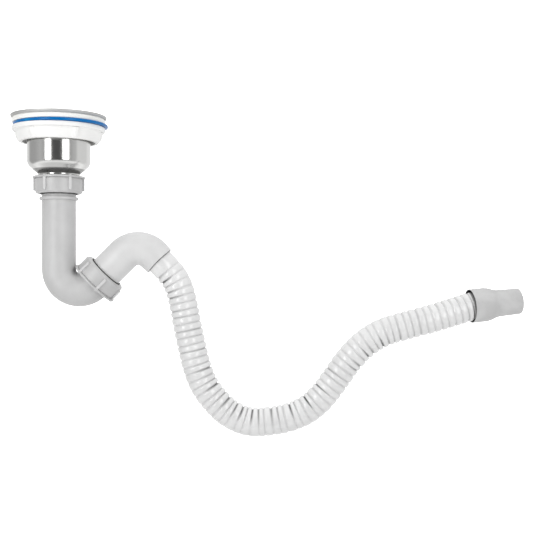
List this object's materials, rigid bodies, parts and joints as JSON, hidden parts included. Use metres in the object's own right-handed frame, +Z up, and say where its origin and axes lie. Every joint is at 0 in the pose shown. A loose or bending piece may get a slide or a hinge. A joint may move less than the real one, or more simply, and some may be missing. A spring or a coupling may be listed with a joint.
{
  "type": "sink trap with basket strainer",
  "caption": "Kitchen sink waste: steel strainer cup with lift-out basket, swivelling J-shaped trap bend and elbow, corrugated hose and pipe adapter.",
  "frame": {"origin": "centre of the plane that the sink flange's rim stands on, which is the top of the sink's floor", "axes": "+Z up along the strainer's axis, +X the way the trap and the hose run"},
  "size_m": [0.6213, 0.114, 0.3882],
  "materials": {
    "polished_steel": "polished",
    "spigot_steel": "turned and polished",
    "pressed_steel": "satin",
    "basket_steel": "satin",
    "white_foam": "matt foam rubber",
    "blue_rubber": "glossy",
    "black_rubber": "matt",
    "washer_rubber": "satin",
    "white_plastic": "moulded",
    "grey_plastic": "moulded, satin",
    "pale_plastic": "moulded, satin",
    "hose_plastic": "blown, glossy",
    "adapter_rubber": "matt"
  },
  "bodies": {
    "strainer": {"strainer_body": "polished_steel", "outlet_spigot": "spigot_steel", "outlet_grid": "pressed_steel", "flange_gasket": "white_foam", "seal_ring": "blue_rubber"},
    "backing": {"backing_nut": "white_plastic"},
    "basket": {"strainer_basket": "basket_steel", "basket_stopper": "black_rubber", "stopper_washer": "pressed_steel", "basket_stem": "pressed_steel", "stem_clip": "pressed_steel", "basket_knob": "polished_steel"},
    "upper_nut": {"slip_nut_upper": "grey_plastic"},
    "trap": {"trap_bend": "grey_plastic", "washer_upper": "washer_rubber"},
    "lower_nut": {"slip_nut_lower": "grey_plastic"},
    "arm": {"trap_elbow": "pale_plastic", "washer_lower": "washer_rubber", "flexible_hose": "hose_plastic", "end_adapter": "adapter_rubber"}
  },
  "joints": [
    {"name": "basket_lift", "type": "slide", "parent": "strainer", "child": "basket", "axis": [0, 0, 1], "range_m": [0, 0.085]},
    {"name": "backing_nut_turn", "type": "hinge", "parent": "strainer", "child": "backing", "pos_m": [0, 0, -0.019], "axis": [0, 0, 1], "continuous": true},
    {"name": "upper_nut_turn", "type": "hinge", "parent": "strainer", "child": "upper_nut", "pos_m": [0, 0, -0.08], "axis": [0, 0, 1], "continuous": true},
    {"name": "trap_swivel", "type": "hinge", "parent": "strainer", "child": "trap", "pos_m": [0, 0, -0.08], "axis": [0, 0, 1], "continuous": true},
    {"name": "lower_nut_turn", "type": "hinge", "parent": "trap", "child": "lower_nut", "pos_m": [0.04268, 0, -0.19918], "axis": [0.7071, 0, 0.7071], "continuous": true},
    {"name": "arm_swivel", "type": "hinge", "parent": "trap", "child": "arm", "pos_m": [0.04268, 0, -0.19918], "axis": [0.7071, 0, 0.7071], "range_deg": [-75, 75]}
  ]
}
